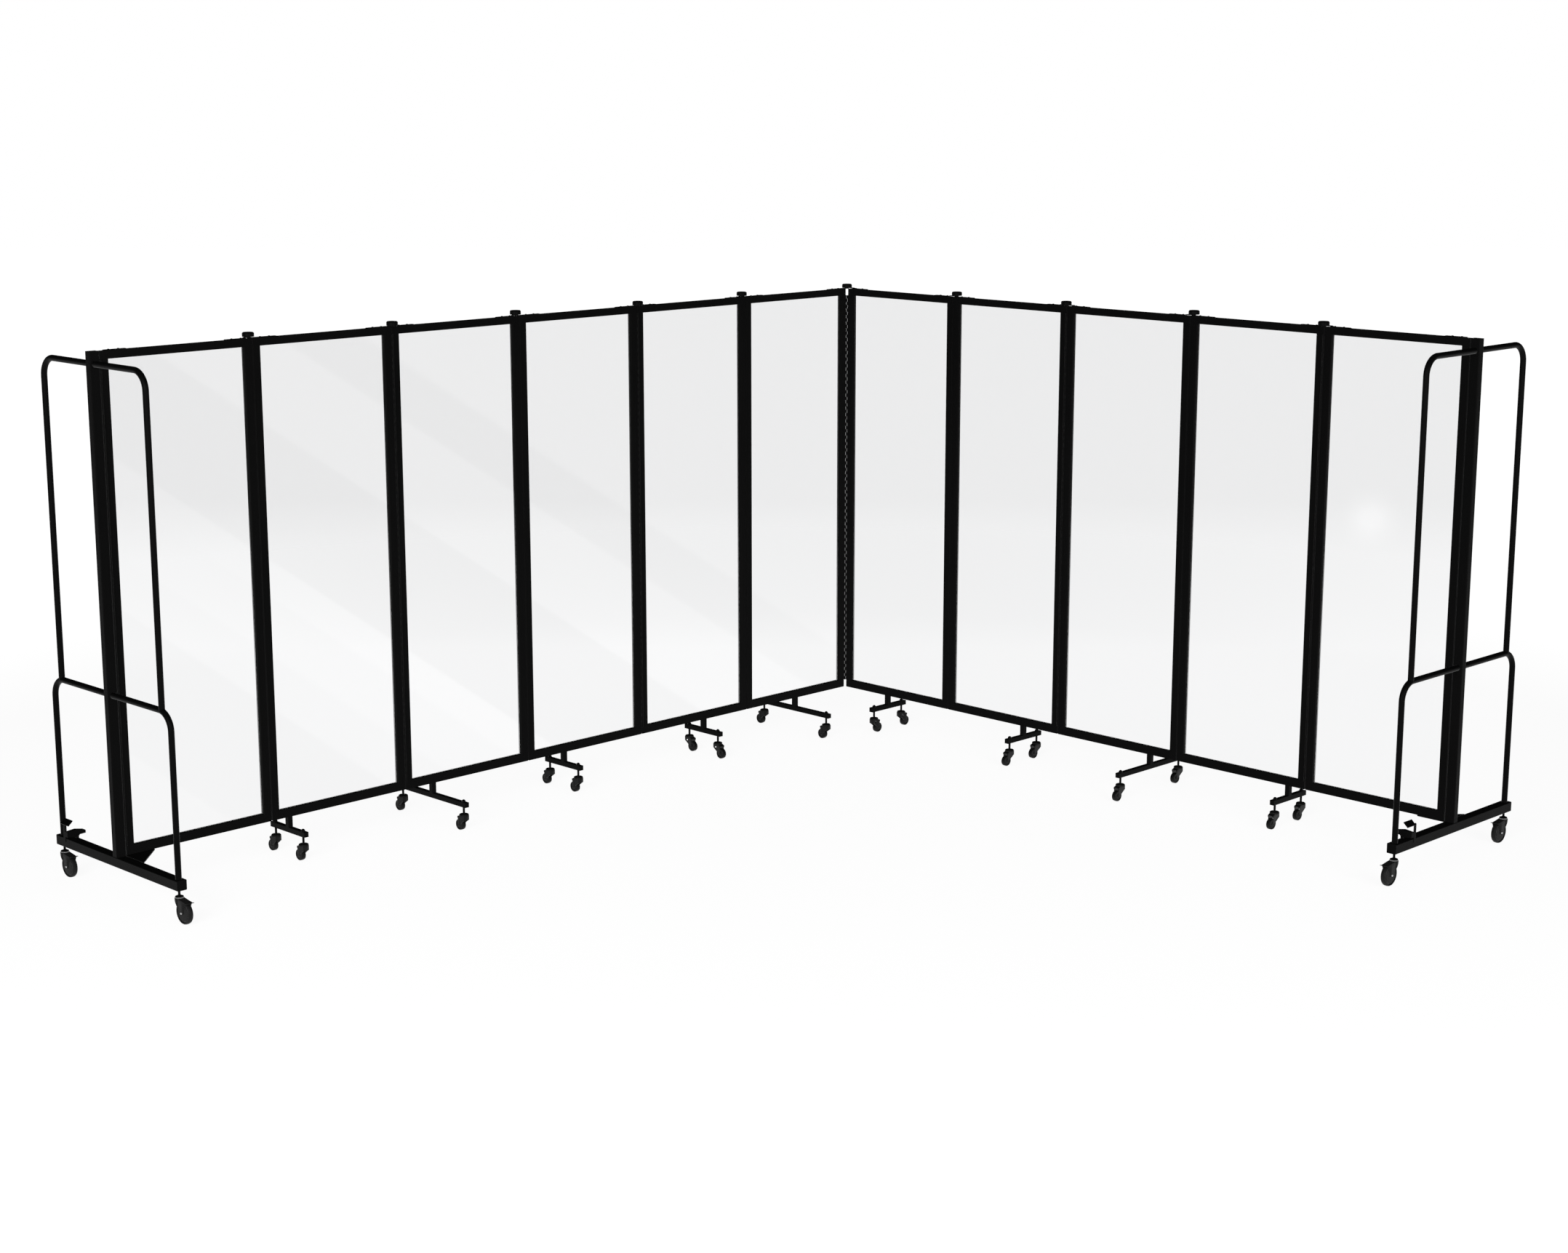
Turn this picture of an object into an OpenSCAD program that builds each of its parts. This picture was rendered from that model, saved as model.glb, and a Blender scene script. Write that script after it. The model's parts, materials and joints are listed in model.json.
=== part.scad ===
// Folding room divider: eleven framed clear panels on piano hinges between two wheeled end frames.
// The two walls stand at a right angle, open towards -Y. +Z is up and the floor is z = 0.

/* [Wall] */
// Distance from one hinge pin to the next
pitch = 559; // [480:1:640]
// Open gap between neighbouring panels, which is also the width of a hinge barrel
gap = 5; // [4.4:0.1:6]
// Angle of each wall from the straight line
wall_angle = 45; // [35:1:55]

/* [Panel frames] */
// Height of a panel's frame
frame_h = 1628.5; // [1400:0.5:1900]
// Depth of the frame's tube
frame_d = 17.5; // [16:0.5:22]
// Face width of the upright stiles
stile_w = 27.5; // [22:0.5:36]
// Height of the top rail
top_rail_h = 26; // [20:0.5:36]
// Height of the bottom rail
bottom_rail_h = 30; // [22:0.5:40]
// Thickness of the clear pane
pane_t = 3; // [2:0.5:4]
// How far the pane's face lies behind the frame's face
pane_set = 11.5; // [6:0.5:12]
// How deep the pane sits in the groove
pane_tuck = 8; // [5:0.5:12]

/* [Hinges] */
// Height of the hinge pin in front of the frame's face
pin_out = 4.27; // [3.6:0.01:6]
// Knuckles on each leaf
knuckles = 60; // [20:1:70]
// Thickness of a leaf
leaf_t = 1.2; // [0.8:0.1:1.5]
// Diameter of the pin
pin_d = 2.4; // [1.8:0.1:2.8]
// How far a leaf stops short of the frame's far face
leaf_short = 3; // [1:0.5:8]

/* [Top straps and knobs] */
// Length of a strap from the hinge pin to its end
strap_l = 98; // [85:1:130]
// Width of a strap
strap_w = 14; // [10:0.5:16]
// Thickness of a strap
strap_t = 2; // [1.5:0.1:3]
// Distance from the hinge pin to the near screw
screw_near = 37; // [34:1:48]
// Distance from the hinge pin to the far screw
screw_far = 72; // [60:1:80]
// Distance from the hinge pin to the near end of the plate on an end panel
end_plate_at = 19; // [15:1:28]
// Diameter of a screw head
screw_head_d = 7; // [5:0.5:9]
// Diameter of the clamping knob
knob_d = 39.3; // [30:0.1:44]
// Height of the clamping knob
knob_h = 14.6; // [10:0.1:22]

/* [Feet] */
// Side of the square tube of a foot
foot_tube = 17.5; // [15:0.5:19]
// Distance from a panel's underside to the top of its foot
foot_drop = 36.6; // [36:0.1:50]
// Length of a short foot
foot_short = 199; // [180:1:206]
// Length of a long foot
foot_long = 389.6; // [370:0.1:396]
// Offset between the feet of panels that fold onto each other
foot_step = 51.6; // [44:0.1:56]
// Distance from the end of a foot to its caster stem
stem_inset = 18.5; // [14:0.5:24]
// Diameter of a caster stem
stem_d = 8; // [6:0.5:10]
// Length of stem that shows between foot and caster
stem_show = 25; // [15:0.5:35]

/* [Small casters] */
// Diameter of the wheel
small_wheel_d = 40; // [34:1:42]
// Width of the wheel
small_wheel_w = 17; // [14:0.5:20]
// Distance from the stem back to the axle
small_trail = 19; // [16:0.5:24]
// Height from the floor to the top of the head
small_h = 62.4; // [58:0.1:70]
// Radius of the round head
small_head_r = 16.5; // [14:0.5:18]
// Height of the round head
small_head_h = 12; // [10:0.5:14]
// Thickness of the horn's cheeks and roof
small_wall = 1.8; // [1.4:0.1:2.4]

/* [End frames] */
// Width of the post, and of the beam that it stands on
post_w = 35; // [30:1:45]
// Depth of the post
post_d = 26; // [24:0.5:34]
// Height of the post above the panels
post_rise = 1; // [0:0.5:6]
// Wall of the post and beam tubes
tube_t = 2; // [1.5:0.1:3]
// Radius of the outer corners of the post and beam tubes
tube_round = 3; // [2.5:0.1:4]
// Length of the beam
beam_l = 732; // [700:1:800]
// Height of the beam
beam_h = 34; // [30:0.5:36]
// Diameter of the hoop tube
hoop_d = 20; // [16:0.5:21]
// Centreline radius of the hoop's bends
hoop_bend = 60; // [40:1:80]
// Distance between the legs of the tall hoop
tall_w = 600; // [560:1:620]
// Height of the tall hoop's top bar above the panels' underside
tall_z = 1590; // [1300:1:1595]
// Distance from the beam's end to the nearest leg of the low hoop
leg_inset = 18; // [17:0.5:26]
// Height of the low hoop's bar above the panels' underside
low_z = 535; // [400:1:700]
// Reach of the support plate from the middle of the beam
plate_reach = 116; // [80:1:160]
// Thickness of the support plate
plate_t = 4; // [3:0.5:6]

/* [Large casters] */
// Diameter of the wheel
large_wheel_d = 75; // [68:1:78]
// Width of the wheel
large_wheel_w = 25; // [20:0.5:28]
// Distance from the stem back to the axle
large_trail = 27; // [22:0.5:32]
// Height from the floor to the top of the fork
large_h = 93; // [90:0.5:98]
// Width of the fork
large_fork_w = 34; // [32:0.5:40]
// Radius of the fork's round nose
large_nose_r = 21; // [19:0.5:24]

/* [Latch] */
// Distance from the low hoop's leg to the middle of the pedal
latch_from_leg = 56; // [52:1:80]
// Length of the pedal along the beam
pedal_l = 48; // [36:1:60]
// Width of the sloping pedal
pedal_w = 23; // [18:1:30]
// Slope of the pedal
pedal_slope = 43; // [30:1:55]
// Height of the lever's channel above the beam
bracket_h = 29; // [24:1:34]
// Reach of the lever's nose past the beam
nose_l = 26; // [16:1:34]

/* [Hidden] */
$fn = 48;
panels = 11;
left_panels = 6;
foot_order = [0, 0, 4, 3, 2, -1, 0, -1, 2, 3, 4, 0];
long_feet = [3, 6, 9];
trails_forward = [5, 8, 9, 10];
seat = 0.3;
run = 0.05;
seam = 0.05;
panel_w = pitch - gap;
barrel_r = gap/2;
rail_l = panel_w - 2*stile_w;
hinge_z0 = bottom_rail_h;
hinge_z1 = frame_h - top_rail_h;
knuckle_l = (hinge_z1 - hinge_z0)/(2*knuckles);
upper_strap_z = frame_h + strap_t + seat;
knob_z = upper_strap_z + strap_t;
foot_top = -foot_drop;
foot_bottom = foot_top - foot_tube;
small_top = foot_bottom - stem_show;
floor_z = small_top - small_h;
beam_top = -seat;
beam_bottom = beam_top - beam_h;
post_x = -(gap + post_w)/2;
mid_y = frame_d/2;
post_h = frame_h + post_rise;
stem_at = beam_l/2 - stem_inset;
low_w = beam_l - 2*leg_inset;
latch_at = low_w/2 - latch_from_leg;
large_top = floor_z + large_h;
fork_sheet = 2.2;
ring_h = 1.6;
bracket_w = 14;
arm_w = 12;
end_x = left_panels*pitch;
right_end_x = (panels - left_panels)*pitch;

// Places of the whole object: the corner pin is shifted so that the origin is under the middle.
left_x = -cos(wall_angle)*(end_x + gap/2 + post_w) - sin(wall_angle)*(beam_l/2 + mid_y + pin_out);
right_x = cos(wall_angle)*(right_end_x + gap/2 + post_w) + sin(wall_angle)*(beam_l/2 + mid_y + pin_out);
wheel_reach = stem_at + large_trail + large_wheel_d/2;
front_y = -sin(wall_angle)*(end_x - post_x + large_wheel_w/2)
    - cos(wall_angle)*(wheel_reach - mid_y - pin_out);
corner_x = -(left_x + right_x)/2;
corner_y = -(front_y + knob_d/2)/2;

FRAMES = [for (i = [1:panels]) str("frame_", i)];
PANES = [for (i = [1:panels]) str("pane_", i)];
SMALL = [for (i = [2:panels - 1], e = ["a", "b"]) str("caster_", i, e)];
ENDS = [for (e = ["left", "right"], n = ["base_", "post_", "hoops_", "latch_"]) str(n, e)];
LARGE = [for (e = ["left", "right"], c = ["a", "b"], n = ["fork_", "wheel_", "brake_"]) str(n, e, "_", c)];

// Placing

// The straight wall's own axes: x along the wall, y into its depth from the front face, z from the underside.
module on_wall(side)
    translate([corner_x, corner_y, -floor_z])
        rotate(-side*wall_angle)
            translate([0, pin_out, 0]) children();

module panel_at(i)
    on_wall(i <= left_panels ? -1 : 1)
        translate([(i - left_panels - 0.5)*pitch, 0, 0]) children();

// An end frame's own axes: x = 0 at its hinge pin and the wall towards +x, as at the left end.
module end_at(e)
    if (e == "left") on_wall(-1) translate([-end_x, 0, 0]) children();
    else on_wall(1) translate([right_end_x, frame_d, 0]) rotate(180) children();

// Puts a hinge's own axes at pin k of a panel or post: even pins stand at the front, odd ones at the back.
module at_pin(x, k)
    if (k % 2 == 0) translate([x, -pin_out, 0]) children();
    else translate([x, frame_d + pin_out, 0]) mirror([0, 1, 0]) children();

// Panel frames

module tube_frame() {
    color([0.1, 0.1, 0.1]) {
        for (s = [0, 1])
            mirror([s, 0, 0])
                translate([rail_l/2 + seam, 0, 0]) {
                    stile();
                    corner_block(0, bottom_rail_h, bottom_rail_h);
                    corner_block(frame_h - top_rail_h, top_rail_h, 0);
                }
        rail(0, bottom_rail_h, bottom_rail_h);
        rail(frame_h - top_rail_h, top_rail_h, 0);
    }
}

// A stile stands between the corner blocks and has the pane's groove in its inner edge.
module stile() {
    l = frame_h - top_rail_h - bottom_rail_h - 2*seam;
    difference() {
        translate([0, 0, bottom_rail_h + seam]) cube([stile_w - seam, frame_d, l]);
        translate([-1, pane_set, bottom_rail_h - 1]) cube([pane_tuck + 1, pane_t + 2*seat, l + 2]);
    }
}

// A corner block of height h standing at z, with a pocket for the pane's corner at height groove_z.
module corner_block(z, h, groove_z) {
    difference() {
        translate([0, 0, z]) cube([stile_w - seam, frame_d, h]);
        translate([-1, pane_set, z + groove_z - pane_tuck])
            cube([pane_tuck + 1, pane_t + 2*seat, 2*pane_tuck]);
    }
}

// A rail of height h standing at z, with the pane's groove in the edge at height groove_z above z.
module rail(z, h, groove_z) {
    difference() {
        translate([-rail_l/2, 0, z]) cube([rail_l, frame_d, h]);
        translate([-rail_l/2 - 1, pane_set, z + groove_z - pane_tuck])
            cube([rail_l + 2, pane_t + 2*seat, 2*pane_tuck]);
    }
}

module pane() {
    tuck = pane_tuck - seat;
    color([0.9, 0.92, 0.94, 0.4])
        translate([-rail_l/2 - tuck, pane_set + seat, bottom_rail_h - tuck])
            cube([rail_l + 2*tuck, pane_t, frame_h - top_rail_h - bottom_rail_h + 2*tuck]);
}

// Piano hinges

// One leaf with its rolled knuckles: side -1 lies left of the pin, and first is 1 where its lowest
// knuckle stands one place up, so that it fits between the knuckles of a leaf whose first is 0.
module hinge_leaf(side, first) {
    reach = pin_out + frame_d - leaf_short;
    color([0.14, 0.14, 0.14])
        translate([0, 0, hinge_z0])
            difference() {
                linear_extrude(hinge_z1 - hinge_z0) {
                    circle(barrel_r);
                    translate([side*(barrel_r - leaf_t/2 - seam) - leaf_t/2, 0]) square([leaf_t, reach]);
                }
                translate([0, 0, -1]) cylinder(r = pin_d/2 + run, h = hinge_z1 - hinge_z0 + 2);
                for (j = [0:knuckles - 1])
                    translate([-barrel_r - 1, -barrel_r - 1, (2*j + first)*knuckle_l - run])
                        cube([2*barrel_r + 2, 2*barrel_r + 1 + seat, knuckle_l + 2*run]);
            }
}

module hinge_pin()
    color([0.3, 0.3, 0.3]) translate([0, 0, hinge_z0]) cylinder(r = pin_d/2, h = hinge_z1 - hinge_z0);

// Top straps and knobs

// The plan of a strap: along the rail's top, then out to a round eye on the hinge pin.
module strap_plan(side) {
    eye = strap_w/2;
    difference() {
        union() {
            hull() {
                translate([side*(strap_l - 3), pin_out + mid_y - eye + 3]) circle(3, $fn = 24);
                translate([side*(strap_l - 3), pin_out + mid_y + eye - 3]) circle(3, $fn = 24);
                translate([side*eye, pin_out + mid_y]) circle(eye);
            }
            hull() {
                circle(eye);
                translate([side*eye, pin_out + mid_y]) circle(eye);
            }
        }
        circle(stem_d/2 + run);
        for (x = [screw_near, screw_far]) translate([side*x, pin_out + mid_y]) circle(2.1, $fn = 24);
    }
}

// The lower strap lies flat on its rail from end to end.
module flat_strap(side)
    color([0.12, 0.12, 0.12]) translate([0, 0, frame_h + seam]) linear_extrude(strap_t) strap_plan(side);

// The upper strap lies flat on its rail and steps up near the knob to pass over the lower one.
module raised_strap(side) {
    step0 = knob_d/2 + 2;
    step1 = step0 + 6;
    up = upper_strap_z - frame_h;
    color([0.12, 0.12, 0.12])
        translate([0, 0, frame_h + seam])
            intersection() {
                linear_extrude(up + strap_t) strap_plan(side);
                translate([0, strap_l, 0])
                    rotate([90, 0, 0])
                        linear_extrude(2*strap_l)
                            polygon([for (p = [[-strap_w, up], [step0, up], [step1, 0], [strap_l, 0],
                                [strap_l, strap_t], [step1 + 1, strap_t], [step0 + 1, up + strap_t],
                                [-strap_w, up + strap_t]]) [side*p[0], p[1]]]);
            }
}

// Beside a post the strap is only a plate on the panel, because a post's hinge has no knob.
module end_plate(side)
    color([0.12, 0.12, 0.12])
        translate([0, 0, frame_h + seam])
            linear_extrude(strap_t)
                difference() {
                    hull()
                        for (x = [end_plate_at + 3, strap_l - 3], y = [3 - strap_w/2, strap_w/2 - 3])
                            translate([side*x, pin_out + mid_y + y]) circle(3, $fn = 24);
                    for (x = [screw_near, screw_far])
                        translate([side*x, pin_out + mid_y]) circle(2.1, $fn = 24);
                }

module strap_screws(side)
    color([0.16, 0.16, 0.16])
        for (x = [screw_near, screw_far])
            translate([side*x, pin_out + mid_y, frame_h + strap_t + 2*seam]) button_screw(2);

// A button head with a hexagon socket, and its shank reaching down through the strap.
module button_screw(shank_r)
    difference() {
        rotate_extrude()
            difference() {
                union() {
                    intersection() {
                        translate([0, 2.2 - screw_head_d]) circle(screw_head_d);
                        square([screw_head_d/2, 2.2]);
                    }
                    translate([0, -strap_t]) square([shank_r, strap_t + 0.5]);
                }
                translate([-20, -20]) square([20, 40]);
            }
        translate([0, 0, 0.9]) cylinder(d = 0.5*screw_head_d, h = 3, $fn = 6);
    }

// The knob is turned with a rounded rim and a shallow dish on top; its bolt ends under the lower strap.
module knob() {
    r = knob_d/2;
    bend = 5;
    color([0.09, 0.09, 0.09])
        translate([0, 0, knob_z + seam])
            rotate_extrude()
                difference() {
                    union() {
                        square([r, knob_h - bend]);
                        square([r - bend, knob_h]);
                        translate([r - bend, knob_h - bend]) circle(bend);
                    }
                    translate([0, knob_h + 60 - 0.8]) circle(60, $fn = 96);
                    translate([-60, -10]) square([60, 90]);
                }
    color([0.3, 0.3, 0.3])
        translate([0, 0, frame_h]) cylinder(r = stem_d/2, h = knob_z - frame_h + 2);
}

// Feet

function foot_x(i) = (i <= left_panels ? -1 : 1)*foot_order[i]*foot_step;
function foot_l(i) = len(search(i, long_feet)) > 0 ? foot_long : foot_short;

module foot(i) {
    l = foot_l(i);
    color([0.1, 0.1, 0.1])
        translate([foot_x(i), mid_y, 0]) {
            translate([-foot_tube/2, -foot_tube/2, foot_top + seam])
                cube([foot_tube, foot_tube, foot_drop - 2*seam]);
            difference() {
                translate([-foot_tube/2, -l/2, foot_bottom]) cube([foot_tube, l, foot_tube]);
                for (s = [-1, 1])
                    translate([0, s*(l/2 - stem_inset), foot_bottom - 1])
                        cylinder(r = stem_d/2 + run, h = foot_tube + 2);
            }
        }
    for (s = [-1, 1])
        translate([foot_x(i), mid_y + s*(l/2 - stem_inset), 0]) {
            color([0.35, 0.35, 0.35])
                translate([0, 0, small_top - 8]) cylinder(r = stem_d/2, h = foot_top + 5 - small_top + 8);
            color([0.12, 0.12, 0.12]) translate([0, 0, foot_top + seam]) cap_nut();
        }
}

// A hexagon nut with a domed cap and a blind hole for the stem.
module cap_nut() {
    flats = 1.6*stem_d;
    difference() {
        union() {
            cylinder(d = flats/cos(30), h = 4.5, $fn = 6);
            translate([0, 0, 4.5])
                rotate_extrude()
                    intersection() {
                        translate([0, -1.5]) circle(flats/2 - 0.3);
                        square([flats/2, 5]);
                    }
        }
        translate([0, 0, -1]) cylinder(r = stem_d/2 + run, h = 6.2);
    }
}

module frame(i) {
    left_pin = i - 1;
    right_pin = i;
    raised = i % 2 == 1;
    panel_at(i) {
        tube_frame();
        at_pin(-pitch/2, left_pin) {
            hinge_leaf(1, 0);
            if (i > 1 && !raised) flat_strap(1);
            if (i > 1 && raised) raised_strap(1);
            if (i == 1) end_plate(1);
            strap_screws(1);
            if (i > 1 && raised) knob();
        }
        at_pin(pitch/2, right_pin) {
            hinge_leaf(-1, 1);
            if (i < panels && !raised) flat_strap(-1);
            if (i < panels && raised) raised_strap(-1);
            if (i == panels) end_plate(-1);
            strap_screws(-1);
            if (i < panels) hinge_pin();
            if (i < panels && raised) knob();
        }
        if (i > 1 && i < panels) foot(i);
    }
}

// Small casters

// The caster's own axes: the stem is the z axis, the top of the head is z = 0 and it trails towards +x.
module small_caster() {
    axle_z = small_wheel_d/2 - small_h;
    in_w = small_wheel_w + 1.6;
    out_w = in_w + 2*small_wall;
    color([0.18, 0.18, 0.19])
        difference() {
            union() {
                horn_head();
                rotate([90, 0, 0]) {
                    linear_extrude(out_w, center = true) horn_side(axle_z);
                    translate([small_trail, axle_z, 0]) cylinder(r = 8, h = out_w + 1.6, center = true);
                }
            }
            rotate([90, 0, 0]) {
                linear_extrude(in_w, center = true) horn_inside(axle_z);
                translate([small_trail, axle_z, 0]) cylinder(r = 2 + run, h = 2*out_w, center = true);
            }
            translate([0, 0, -9]) cylinder(r = stem_d/2 + 0.1, h = 20);
            translate([-5, -out_w, -small_head_h - 9]) cube([6, out_w, 6]);
        }
    color([0.22, 0.22, 0.23])
        translate([small_trail, 0, axle_z])
            rotate([90, 0, 0]) small_wheel();
    color([0.5, 0.5, 0.5])
        translate([small_trail, 0, axle_z])
            rotate([90, 0, 0]) cylinder(r = 2, h = out_w + 3.4, center = true);
}

// The head that holds the stem: a flat button with a chamfered rim, upright below it.
module horn_head() {
    r = small_head_r;
    rotate_extrude()
        polygon([[0, 0], [r/2, 0], [r - 2, -1.5], [r, -3.5], [r, -small_head_h], [0, -small_head_h]]);
}

// Height of the horn's sloping roof, which runs back from the head to its upright rear lip.
function roof_z(x) = -4 - 0.36*(x - small_head_r/2);
function horn_lip() = small_trail + 5;

// The outline of the horn's cheeks and roof from the side.
module horn_side(axle_z) {
    r = small_head_r;
    low = -small_head_h - 11;
    polygon([[-r + 4.5, -small_head_h + 2], [-r, -small_head_h], [-r, low], [small_trail - 7, axle_z - 3],
        [small_trail + 7, axle_z - 3], [small_trail - 3, low - 7], [small_trail - 3, low + 5],
        [horn_lip(), low + 5], [horn_lip(), roof_z(horn_lip())], [r/2, roof_z(r/2)]]);
}

// The space between the cheeks, open to the front, below and behind.
module horn_inside(axle_z) {
    r = small_head_r;
    back = horn_lip() + 10;
    polygon([[-2*r, -small_head_h], [r, -small_head_h], [r, roof_z(r) - small_wall],
        [back, roof_z(back) - small_wall], [back, axle_z - 20], [-2*r, axle_z - 20]]);
}

module small_wheel() {
    r = small_wheel_d/2;
    w = small_wheel_w/2;
    rotate_extrude()
        polygon([[2 + run, -w], [6, -w], [6.5, -w + 2], [r - 6, -w + 2], [r - 5, -w], [r - 2, -w],
            [r - 0.6, -w + 1.2], [r, -w/2], [r, w/2], [r - 0.6, w - 1.2], [r - 2, w], [r - 5, w],
            [r - 6, w - 2], [6.5, w - 2], [6, w], [2 + run, w]]);
}

// Caster a hangs at the front end of its foot and caster b at the back end.
module foot_caster(i, e) {
    s = e == "a" ? -1 : 1;
    forward = len(search(i, trails_forward)) > 0;
    panel_at(i)
        translate([foot_x(i), mid_y + s*(foot_l(i)/2 - stem_inset), small_top])
            rotate(forward ? -90 : 90) small_caster();
}

// End frames

module rounded_rect(w, d, r) {
    square([w - 2*r, d], center = true);
    square([w, d - 2*r], center = true);
    for (x = [-1, 1], y = [-1, 1]) translate([x*(w/2 - r), y*(d/2 - r)]) circle(r);
}

module rect_tube(w, d, l)
    linear_extrude(l)
        difference() {
            rounded_rect(w, d, tube_round);
            rounded_rect(w - 2*tube_t, d - 2*tube_t, tube_round - tube_t);
        }

module tube_plug(w, d, t)
    linear_extrude(t) rounded_rect(w - 2*tube_t - 2*run, d - 2*tube_t - 2*run, tube_round - tube_t);

// The beam on the floor side, its plugs, the caster stems, the support plate and the latch bracket.
module base(hand) {
    color([0.1, 0.1, 0.1]) {
        difference() {
            translate([post_x, mid_y + beam_l/2, beam_top - beam_h/2])
                rotate([90, 0, 0]) rect_tube(post_w, beam_h, beam_l);
            for (s = [-1, 1])
                translate([post_x, mid_y + s*stem_at, beam_bottom - 1])
                    cylinder(r = 5 + run, h = tube_t + 2);
        }
        for (s = [-1, 1])
            translate([post_x, mid_y + s*(beam_l/2 - 1.5) + 1.5, beam_top - beam_h/2])
                rotate([90, 0, 0]) tube_plug(post_w, beam_h, 3);
        translate([seam, 0, 0]) support_plate();
    }
    color([0.35, 0.35, 0.35])
        for (s = [-1, 1]) translate([post_x, mid_y + s*stem_at, 0]) large_stem();
    latch_bracket(hand);
}

// The triangular plate under the panel's bottom rail, welded to the beam's inner side.
module support_plate() {
    inner = post_x + post_w/2;
    translate([0, 0, beam_top - plate_t])
        linear_extrude(plate_t)
            polygon([[inner, mid_y - plate_reach], [inner, frame_d],
                [inner + plate_reach - mid_y, frame_d], [inner + plate_reach - mid_y, 0]]);
}

// The threaded stem, its cone above the fork and the nut that holds the fork below.
module large_stem() {
    translate([0, 0, large_top - 10]) cylinder(r = 5, h = 10 + ring_h + seat + 1);
    translate([0, 0, large_top + ring_h + seat]) {
        cylinder(r1 = large_nose_r - 1.5, r2 = 8, h = 5);
        thread(5, beam_bottom - large_top - ring_h - seat);
    }
    translate([0, 0, beam_bottom]) cylinder(r = 5, h = 12);
    translate([0, 0, beam_bottom + tube_t]) nut(5 + run, 16, 6);
    translate([0, 0, large_top - 10]) nut(5 + run, 16, 5);
}

// Rod of outer radius r and length l with a groove at every turn of the thread.
module thread(r, l) {
    turns = floor(l/1.75);
    p = l/turns;
    rotate_extrude()
        polygon(concat([[0, 0]],
            [for (k = [0:turns - 1], q = [[0.9, 0], [1, 0.35], [1, 0.65]]) [r*q[0], (k + q[1])*p]],
            [[0.9*r, l], [0, l]]));
}

module nut(hole_r, flats, h)
    difference() {
        cylinder(d = flats/cos(30), h = h, $fn = 6);
        translate([0, 0, -1]) cylinder(r = hole_r, h = h + 2);
    }

module post(hand) {
    color([0.1, 0.1, 0.1]) {
        difference() {
            translate([post_x, mid_y, beam_top]) rect_tube(post_w, post_d, post_h - beam_top - 2);
            for (z = [tall_z, low_z])
                translate([post_x, mid_y + post_d, z])
                    rotate([90, 0, 0]) cylinder(d = hoop_d + 2*run, h = 2*post_d);
        }
        translate([post_x, mid_y, post_h - 2 + seam])
            linear_extrude(2) rounded_rect(post_w, post_d, tube_round);
        translate([0, -pin_out, 0]) hinge_leaf(-1, hand > 0 ? 1 : 0);
    }
    translate([0, -pin_out, 0]) hinge_pin();
}

// An upside-down U of round tube from height z0 up to its bar at height z.
module hoop(w, z, z0) {
    for (s = [-1, 1]) {
        translate([0, s*w/2, z0]) cylinder(d = hoop_d, h = z - hoop_bend - z0);
        translate([0, s*(w/2 - hoop_bend), z - hoop_bend])
            rotate([90, 0, s*90]) rotate_extrude(angle = 90) translate([hoop_bend, 0]) circle(d = hoop_d);
    }
    translate([0, w/2 - hoop_bend, z]) rotate([90, 0, 0]) cylinder(d = hoop_d, h = w - 2*hoop_bend);
}

// The tall hoop's legs stand on the low hoop's bar and are welded to it.
module hoops()
    color([0.1, 0.1, 0.1])
        translate([post_x, mid_y, 0]) {
            hoop(low_w, low_z, beam_top);
            hoop(tall_w, tall_z, low_z);
        }

// Large casters

// The caster's own axes: the stem is the z axis, the top of the fork is z = 0 and it trails towards +x.
module large_fork() {
    axle_z = large_wheel_d/2 - large_h;
    back = large_trail - 1;
    color([0.2, 0.2, 0.21]) {
        difference() {
            intersection() {
                translate([0, 0, -large_h])
                    linear_extrude(large_h) {
                        circle(large_nose_r);
                        translate([0, -large_fork_w/2]) square([large_trail + 30, large_fork_w]);
                    }
                fork_side(back, axle_z, large_fork_w + 20);
            }
            translate([0, 0, -large_h - 1])
                linear_extrude(large_h + 1 - fork_sheet) {
                    circle(large_nose_r - fork_sheet);
                    translate([0, -large_fork_w/2 + fork_sheet]) square([large_trail + 31, large_fork_w - 2*fork_sheet]);
                }
            translate([0, 0, -10]) cylinder(r = 5.2, h = 20);
            translate([large_trail, 0, axle_z])
                rotate([90, 0, 0]) cylinder(r = 4 + run, h = 2*large_fork_w, center = true);
            translate([brake_x(), 0, brake_z()])
                rotate([90, 0, 0]) cylinder(r = 2 + run, h = 2*large_fork_w, center = true);
        }
    }
    color([0.6, 0.6, 0.6])
        difference() {
            cylinder(r = large_nose_r, h = ring_h);
            translate([0, 0, -1]) cylinder(r = 5.2, h = 5);
        }
    color([0.6, 0.6, 0.6])
        translate([large_trail, 0, axle_z]) rotate([90, 0, 0]) {
            cylinder(r = 4, h = large_fork_w + 8, center = true);
            for (s = [-1, 1])
                translate([0, 0, s*(large_fork_w/2 + 2) - 2]) nut(4 + run, 10, 4);
        }
    color([0.4, 0.4, 0.4])
        translate([brake_x(), 0, brake_z()])
            rotate([90, 0, 0]) cylinder(r = 2, h = large_fork_w + 1, center = true);
}

function brake_x() = large_trail - 2;
function brake_z() = -8;

// The outline of the fork's cheeks from the side.
module fork_side(back, axle_z, w)
    rotate([90, 0, 0])
        linear_extrude(w, center = true) {
            polygon([[-large_nose_r - 1, 1], [-large_nose_r - 1, -12], [large_trail - 8, axle_z - 2],
                [large_trail + 7, axle_z - 2], [back + 8, -9], [back + 4, 1]]);
            translate([large_trail, axle_z]) circle(8);
        }

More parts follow.
